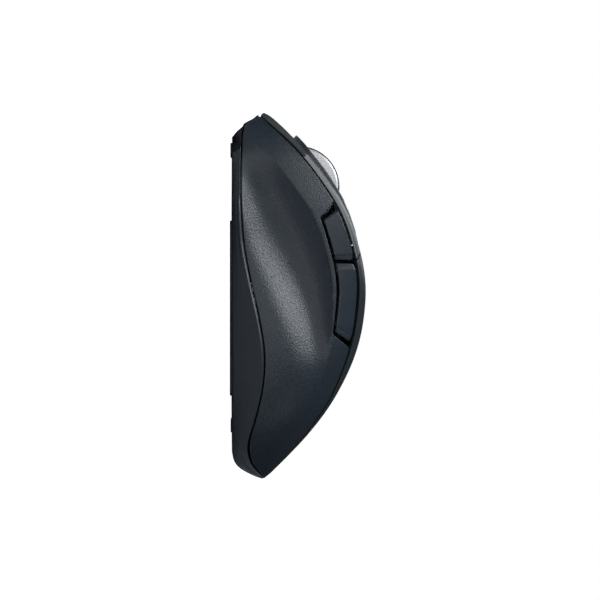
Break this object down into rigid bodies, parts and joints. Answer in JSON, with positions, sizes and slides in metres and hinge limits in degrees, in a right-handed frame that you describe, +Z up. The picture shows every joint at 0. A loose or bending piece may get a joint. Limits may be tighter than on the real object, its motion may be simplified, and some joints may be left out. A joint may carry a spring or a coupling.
{
  "type": "computer mouse",
  "caption": "Contoured wireless desk mouse for the right hand, with a thumb scoop, side thumb buttons and a large silver scroll wheel.",
  "frame": {"origin": "middle of the footprint, on the plane of the glide feet", "axes": "+Y points to the front lip, +X to the mouse's right, +Z up"},
  "size_m": [0.0782, 0.12, 0.0438],
  "materials": {
    "base_plastic": "fine satin moulding",
    "grip_plastic": "fine moulded leather grain",
    "shell_plastic": "satin, slightly metallic dark grey",
    "button_plastic": "satin dark grey",
    "inner_plastic": "plain black moulding",
    "silver": "satin silver",
    "tread_rubber": "soft black rubber",
    "board": "green solder mask",
    "chip": "black epoxy",
    "encoder_green": "green moulding",
    "clear_lens": "clear moulding",
    "spring_steel": "nickel plated",
    "cell_label": "plain wrapped sleeve",
    "foot_slick": "low friction film",
    "knob_orange": "plain orange",
    "screw_steel": "zinc plated",
    "light_blue": "translucent blue"
  },
  "bodies": {
    "housing": {"base_shell": "base_plastic", "top_frame": "inner_plastic", "left_grip": "grip_plastic", "right_grip": "grip_plastic", "palm_cover": "shell_plastic", "wheel_bezel": "shell_plastic", "side_button_bracket": "inner_plastic", "carrier_bracket": "inner_plastic", "wheel_encoder": "encoder_green", "carrier_spring": "spring_steel", "main_board": "board", "sensor_chip": "chip", "sensor_lens": "clear_lens", "left_switch": "chip", "right_switch": "chip", "wheel_switch": "chip", "mode_switch": "chip", "mode_post": "inner_plastic", "side_board": "board", "forward_switch": "chip", "back_switch": "chip", "battery_tray": "inner_plastic", "battery_cell": "cell_label", "battery_spring": "spring_steel", "battery_contact": "spring_steel", "power_switch": "spring_steel", "receiver": "inner_plastic", "front_feet": "foot_slick", "side_skates": "foot_slick", "rear_foot": "foot_slick", "case_screws": "screw_steel", "status_light": "light_blue"},
    "left_click": {"left_button": "shell_plastic"},
    "right_click": {"right_button": "shell_plastic"},
    "wheel_carrier": {"wheel_carrier": "inner_plastic"},
    "wheel": {"wheel_hub": "silver", "wheel_tread": "tread_rubber"},
    "mode": {"mode_button": "button_plastic"},
    "forward": {"forward_button": "button_plastic"},
    "back": {"back_button": "button_plastic"},
    "battery_door": {"battery_door": "base_plastic"},
    "power_knob": {"power_knob": "knob_orange"}
  },
  "joints": [
    {"name": "left_click", "type": "hinge", "parent": "housing", "child": "left_click", "pos_m": [-0.0115, 0.0185, 0.0332], "axis": [-1, 0, 0], "range_deg": [0, 0.8], "stiffness_Nm_per_rad": 0.15, "springref_deg": -5.73},
    {"name": "right_click", "type": "hinge", "parent": "housing", "child": "right_click", "pos_m": [0.0115, 0.0185, 0.0332], "axis": [-1, 0, 0], "range_deg": [0, 0.8], "stiffness_Nm_per_rad": 0.15, "springref_deg": -5.73},
    {"name": "wheel_press", "type": "hinge", "parent": "housing", "child": "wheel_carrier", "pos_m": [0, 0.019, 0.014], "axis": [-1, 0, 0], "range_deg": [0, 2], "stiffness_Nm_per_rad": 0.08, "springref_deg": -8.59, "deforming": ["carrier_spring"]},
    {"name": "wheel_scroll", "type": "hinge", "parent": "wheel_carrier", "child": "wheel", "pos_m": [0, 0.0357, 0.022], "axis": [1, 0, 0], "continuous": true},
    {"name": "mode_press", "type": "slide", "parent": "housing", "child": "mode", "axis": [0, 0, -1], "range_m": [0, 0.0005], "stiffness_N_per_m": 800, "springref_m": -0.0006},
    {"name": "forward_press", "type": "slide", "parent": "housing", "child": "forward", "axis": [0.848, 0, -0.5299], "range_m": [0, 0.0006], "stiffness_N_per_m": 800, "springref_m": -0.0006},
    {"name": "back_press", "type": "slide", "parent": "housing", "child": "back", "axis": [0.848, 0, -0.5299], "range_m": [0, 0.0006], "stiffness_N_per_m": 800, "springref_m": -0.0006},
    {"name": "battery_door", "type": "hinge", "parent": "housing", "child": "battery_door", "pos_m": [0.01, -0.045, 0.00135], "axis": [-1, 0, 0], "range_deg": [0, 85]},
    {"name": "power_slide", "type": "slide", "parent": "housing", "child": "power_knob", "axis": [0, 1, 0], "range_m": [0, 0.0036]}
  ]
}
